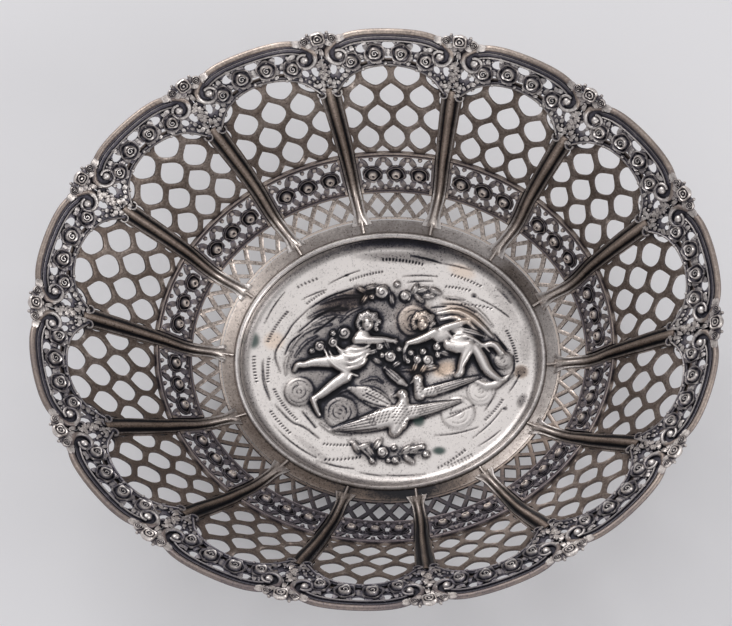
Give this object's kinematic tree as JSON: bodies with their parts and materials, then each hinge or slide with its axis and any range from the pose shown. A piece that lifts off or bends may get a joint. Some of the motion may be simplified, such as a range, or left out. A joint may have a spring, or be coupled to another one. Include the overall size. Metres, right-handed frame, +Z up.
{
  "type": "oval pierced fruit basket",
  "caption": "Oval silver fruit basket with a relief-chased well, openwork flaring wall in ribbed panels and a scrolled rose rim.",
  "frame": {"origin": "on the table under the middle of the basket, at the centre of the pan's flat underside", "axes": "+X along the longer side of the oval, +Y along the shorter side, +Z up towards the rim"},
  "size_m": [0.279, 0.242, 0.0827],
  "materials": {
    "chased_silver": "tarnished silver with chased and embossed relief, dark in the hollows",
    "plain_silver": "worn tarnished silver, bright along the edges",
    "pierced_silver": "pierced sheet silver with brown-grey tarnish",
    "cast_silver": "cast silver, oxidised blue-black in the hollows with worn highlights"
  },
  "bodies": {
    "root": {"base_pan": "chased_silver", "collar": "plain_silver", "well_moulding": "plain_silver", "panel_01": "pierced_silver", "panel_02": "pierced_silver", "panel_03": "pierced_silver", "panel_04": "pierced_silver", "panel_05": "pierced_silver", "panel_06": "pierced_silver", "panel_07": "pierced_silver", "panel_08": "pierced_silver", "panel_09": "pierced_silver", "panel_10": "pierced_silver", "panel_11": "pierced_silver", "panel_12": "pierced_silver", "panel_13": "pierced_silver", "panel_14": "pierced_silver", "rose_band_01": "cast_silver", "rose_band_02": "cast_silver", "rose_band_03": "cast_silver", "rose_band_04": "cast_silver", "rose_band_05": "cast_silver", "rose_band_06": "cast_silver", "rose_band_07": "cast_silver", "rose_band_08": "cast_silver", "rose_band_09": "cast_silver", "rose_band_10": "cast_silver", "rose_band_11": "cast_silver", "rose_band_12": "cast_silver", "rose_band_13": "cast_silver", "rose_band_14": "cast_silver", "rim_scroll_01": "cast_silver", "rim_scroll_02": "cast_silver", "rim_scroll_03": "cast_silver", "rim_scroll_04": "cast_silver", "rim_scroll_05": "cast_silver", "rim_scroll_06": "cast_silver", "rim_scroll_07": "cast_silver", "rim_scroll_08": "cast_silver", "rim_scroll_09": "cast_silver", "rim_scroll_10": "cast_silver", "rim_scroll_11": "cast_silver", "rim_scroll_12": "cast_silver", "rim_scroll_13": "cast_silver", "rim_scroll_14": "cast_silver", "rib_01": "plain_silver", "rib_02": "plain_silver", "rib_03": "plain_silver", "rib_04": "plain_silver", "rib_05": "plain_silver", "rib_06": "plain_silver", "rib_07": "plain_silver", "rib_08": "plain_silver", "rib_09": "plain_silver", "rib_10": "plain_silver", "rib_11": "plain_silver", "rib_12": "plain_silver", "rib_13": "plain_silver", "rib_14": "plain_silver", "rim_rose_clusters": "cast_silver"}
  },
  "joints": []
}
